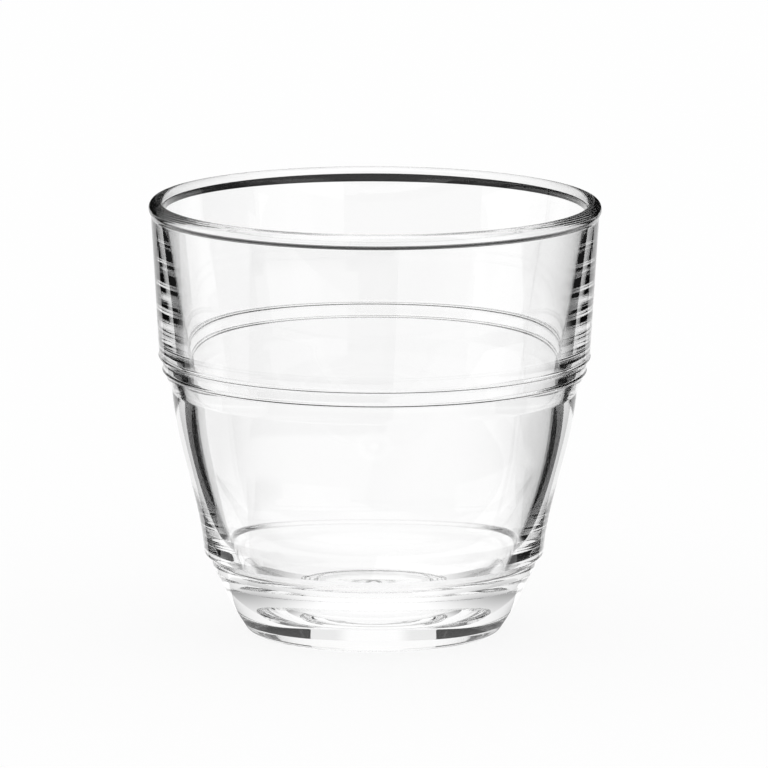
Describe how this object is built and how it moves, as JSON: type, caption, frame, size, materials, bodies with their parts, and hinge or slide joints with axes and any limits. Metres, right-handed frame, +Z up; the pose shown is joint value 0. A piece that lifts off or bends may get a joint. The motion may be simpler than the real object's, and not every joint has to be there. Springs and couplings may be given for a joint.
{
  "type": "cortado glass",
  "caption": "Clear stackable tumbler for a small coffee, with a rounded rim bead, a creased stacking shoulder, a curved lower wall and a stepped foot ring on a thick base.",
  "frame": {"origin": "middle of the bearing ring, on the surface that the glass stands on", "axes": "+Z up along the axis of the glass, towards the rim; the glass is round, so X and Y are any two level directions"},
  "size_m": [0.075, 0.075, 0.0722],
  "materials": {
    "clear_glass": "polished"
  },
  "bodies": {
    "root": {"tumbler": "clear_glass"}
  },
  "joints": []
}
